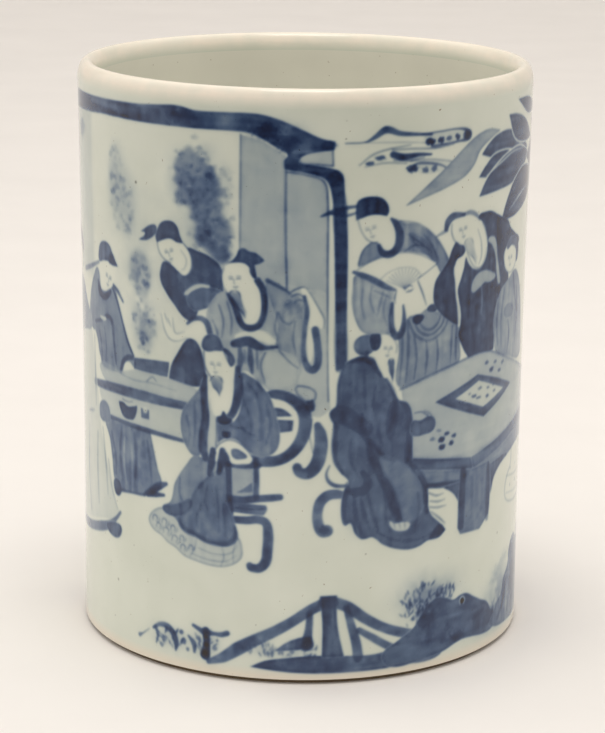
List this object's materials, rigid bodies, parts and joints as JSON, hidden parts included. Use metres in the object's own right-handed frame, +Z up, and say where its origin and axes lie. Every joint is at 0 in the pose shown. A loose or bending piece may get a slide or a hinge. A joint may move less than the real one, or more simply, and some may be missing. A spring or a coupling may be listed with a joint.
{
  "type": "brush pot",
  "caption": "Cylindrical glazed porcelain pot with a rounded lip and a low bare foot ring, painted outside in blue with a garden scene, for standing writing brushes in.",
  "frame": {"origin": "middle of the foot's resting plane", "axes": "+Z up along the pot's axis, -Y towards the side with the seated scholars at the two tables, +X to the viewer's right of it"},
  "size_m": [0.1218, 0.1218, 0.155],
  "materials": {
    "bare_foot_clay": "bare fired porcelain clay, matt, stained warm brown at the edge",
    "porcelain_clay": "fired porcelain clay, under the glaze",
    "painted_glaze": "cobalt blue painting under a clear, slightly green-grey glossy glaze",
    "clear_glaze": "clear, slightly green-grey glossy glaze over porcelain"
  },
  "bodies": {
    "root": {"foot_ring": "bare_foot_clay", "base_plate": "porcelain_clay", "turned_wall": "porcelain_clay", "outer_glaze": "painted_glaze", "lip_glaze": "clear_glaze", "inner_glaze": "clear_glaze", "floor_glaze": "clear_glaze", "underside_glaze": "clear_glaze"}
  },
  "joints": []
}
